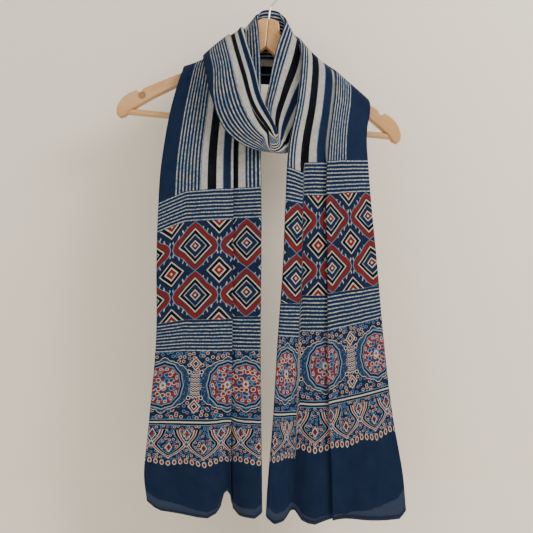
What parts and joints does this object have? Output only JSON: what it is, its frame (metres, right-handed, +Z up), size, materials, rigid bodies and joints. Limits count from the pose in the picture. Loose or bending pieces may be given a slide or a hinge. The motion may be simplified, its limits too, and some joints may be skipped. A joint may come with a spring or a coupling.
{
  "type": "ajrakh stole on a wooden clothes hanger",
  "caption": "Narrow indigo ajrakh stole, folded lengthwise and wound round the neck of a plain wooden clothes hanger, with both patterned ends hanging in front.",
  "frame": {"origin": "where the inside of the hook's bowl bears on its rail", "axes": "+Z up, -Y the front of the stole, towards the viewer, +X to the viewer's right along the hanger"},
  "size_m": [0.449, 0.1178, 0.8448],
  "materials": {
    "cotton": "matt printed cotton",
    "pine": "satin clear lacquer",
    "varnished_pine": "gloss varnish",
    "steel": "bright wire"
  },
  "bodies": {
    "root": {"stole": "cotton", "hanger_arm_left": "pine", "hanger_arm_right": "pine", "trouser_bar": "varnished_pine", "hook": "steel"}
  },
  "joints": []
}
